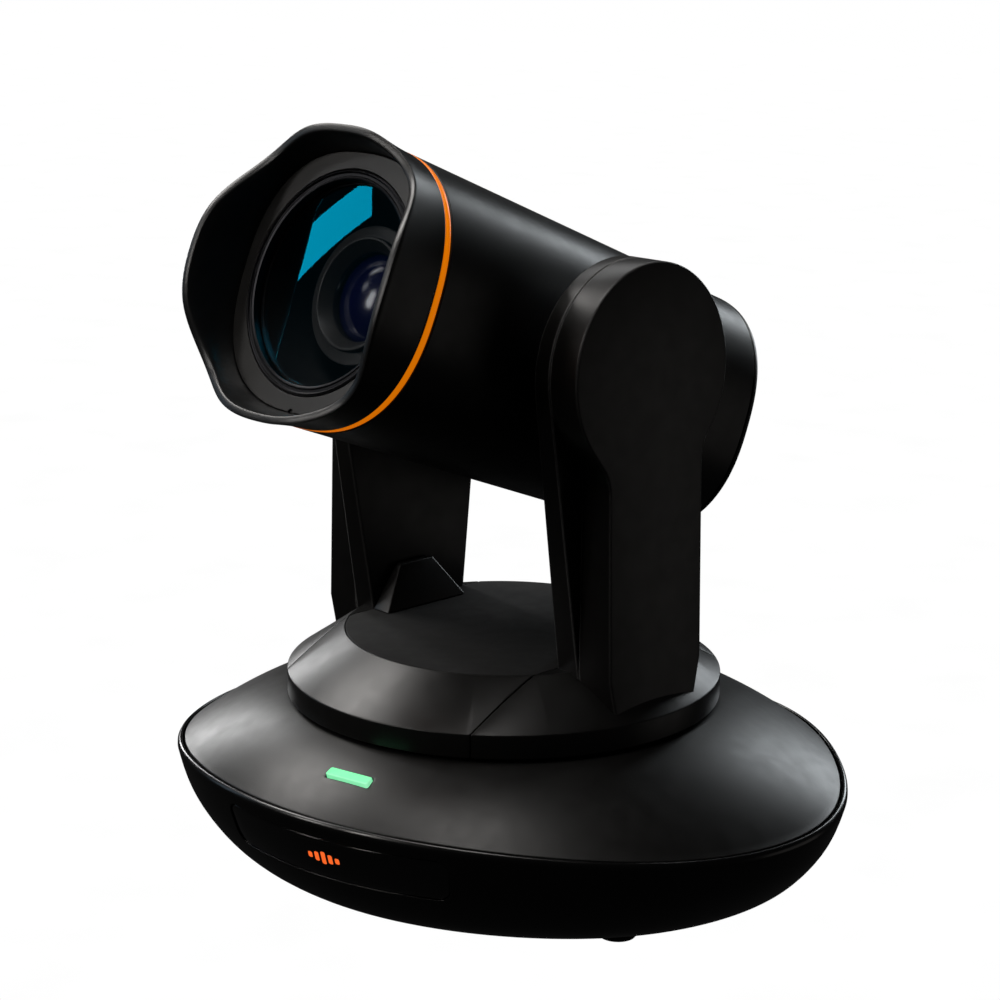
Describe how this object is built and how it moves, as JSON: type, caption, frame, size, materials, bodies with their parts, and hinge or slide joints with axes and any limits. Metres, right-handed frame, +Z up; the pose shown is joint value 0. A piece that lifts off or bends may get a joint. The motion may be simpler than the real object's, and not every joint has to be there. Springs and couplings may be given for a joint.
{
  "type": "ptz camera",
  "caption": "Pan-tilt-zoom video camera: hooded barrel head tilting between two arms on a turret that pans on an oval base.",
  "frame": {"origin": "the mouth of the tripod socket in the underside, on the pan axis, 3 mm above the plane under the rubber feet", "axes": "+Z up along the pan axis, -Y towards the front of the base (tally light and window), +X to the base's left-hand side seen from the front"},
  "size_m": [0.2374, 0.1978, 0.248],
  "materials": {
    "shell_satin": "satin near-black moulded plastic",
    "shell_gloss": "semi-gloss black moulded plastic",
    "shell_matte": "matte black moulded plastic",
    "accent_orange": "orange satin paint",
    "window_black": "gloss black window",
    "tally_green": "green light bar, lit",
    "rubber": "matte rubber",
    "steel": "zinc plated sheet",
    "aluminium": "machined aluminium",
    "nickel": "nickel plated",
    "brass": "machined brass",
    "acetal": "natural acetal",
    "board": "solder-masked circuit board",
    "motor": "black painted motor can",
    "black_anodised": "black anodised",
    "glass": "coated glass",
    "glass_deep": "deep blue coated glass"
  },
  "bodies": {
    "base": {"dish_shell": "shell_gloss", "display_window": "window_black", "display_module": "board", "top_cover": "shell_satin", "tally_light": "tally_green", "rubber_feet": "rubber", "base_plate": "steel", "base_screws": "steel", "bearing_housing": "aluminium", "pan_bearing": "steel", "slip_ring": "shell_matte", "pan_motor": "motor", "rear_panel": "shell_matte", "sdi_connectors": "nickel", "hdmi_connector": "nickel", "ethernet_connector": "nickel", "control_jacks": "nickel", "dc_inlet": "shell_matte", "main_board": "board"},
    "pan_pinion": {"pan_pinion": "brass", "pan_rotor": "steel"},
    "mode_selector": {"mode_selector": "shell_satin"},
    "reset_button": {"reset_button": "shell_satin"},
    "turret": {"turntable": "aluminium", "pan_gear": "acetal", "motor_board": "board", "ring_front": "shell_satin", "ring_rear": "shell_satin", "ring_side_right": "shell_satin", "ring_side_left": "shell_satin", "disc_cover": "shell_matte", "arm_outer_right": "shell_satin", "arm_outer_left": "shell_satin", "arm_inner_right": "shell_satin", "arm_inner_left": "shell_satin", "cable_cover_left": "shell_satin", "cable_cover_right": "shell_satin", "yoke_frame_right": "aluminium", "yoke_frame_left": "aluminium", "tilt_bearings": "steel", "tilt_motor": "motor"},
    "tilt_pinion": {"tilt_pinion": "brass", "tilt_rotor": "steel"},
    "head": {"barrel_shell": "shell_satin", "accent_ring": "accent_orange", "rear_cap": "shell_satin", "hood": "shell_satin", "bezel_plate": "shell_matte", "lens_bezel_ring": "black_anodised", "front_glass": "glass", "lens_barrel": "black_anodised", "head_chassis": "aluminium", "trunnions": "aluminium", "tilt_gear": "acetal", "sensor_board": "board", "heat_sink": "aluminium"},
    "zoom_ring": {"zoom_ring": "acetal"},
    "zoom_group": {"zoom_group": "black_anodised", "zoom_element": "glass_deep"},
    "focus_group": {"focus_group": "black_anodised"}
  },
  "joints": [
    {"name": "pan", "type": "hinge", "parent": "base", "child": "turret", "pos_m": [0, 0, 0.057], "axis": [0, 0, 1], "range_deg": [-158.9, 181.1]},
    {"name": "pan_pinion_spin", "type": "hinge", "parent": "base", "child": "pan_pinion", "pos_m": [0, -0.044, 0.042], "axis": [0, 0, 1], "range_deg": [-815.5, 715.5]},
    {"name": "mode_turn", "type": "hinge", "parent": "base", "child": "mode_selector", "pos_m": [-0.006, 0.0755, 0.014], "axis": [0, 1, 0], "range_deg": [0, 324]},
    {"name": "reset_press", "type": "slide", "parent": "base", "child": "reset_button", "axis": [0, -1, 0], "range_m": [0, 0.0006]},
    {"name": "tilt", "type": "hinge", "parent": "turret", "child": "head", "pos_m": [0, 0, 0.1708], "axis": [-0.9813, 0.1925, 0], "range_deg": [-51.6, 68.4]},
    {"name": "tilt_pinion_spin", "type": "hinge", "parent": "turret", "child": "tilt_pinion", "pos_m": [0, 0, 0.1407], "axis": [-0.9813, 0.1925, 0], "range_deg": [-353, 267]},
    {"name": "zoom_turn", "type": "hinge", "parent": "head", "child": "zoom_ring", "pos_m": [-0.00298, -0.01521, 0.17511], "axis": [-0.179, -0.9124, 0.3681], "range_deg": [0, 110]},
    {"name": "zoom_slide", "type": "slide", "parent": "head", "child": "zoom_group", "axis": [0.179, 0.9124, -0.3681], "range_m": [0, 0.016]},
    {"name": "focus_slide", "type": "slide", "parent": "head", "child": "focus_group", "axis": [-0.179, -0.9124, 0.3681], "range_m": [-0.003, 0.003]}
  ],
  "couplings": [
    {"joint": "pan_pinion_spin", "follows": "pan", "ratio": -4.5},
    {"joint": "tilt_pinion_spin", "follows": "tilt", "ratio": -5.1429},
    {"joint": "zoom_slide", "follows": "zoom_turn", "m_per_rad": 0.0083}
  ]
}
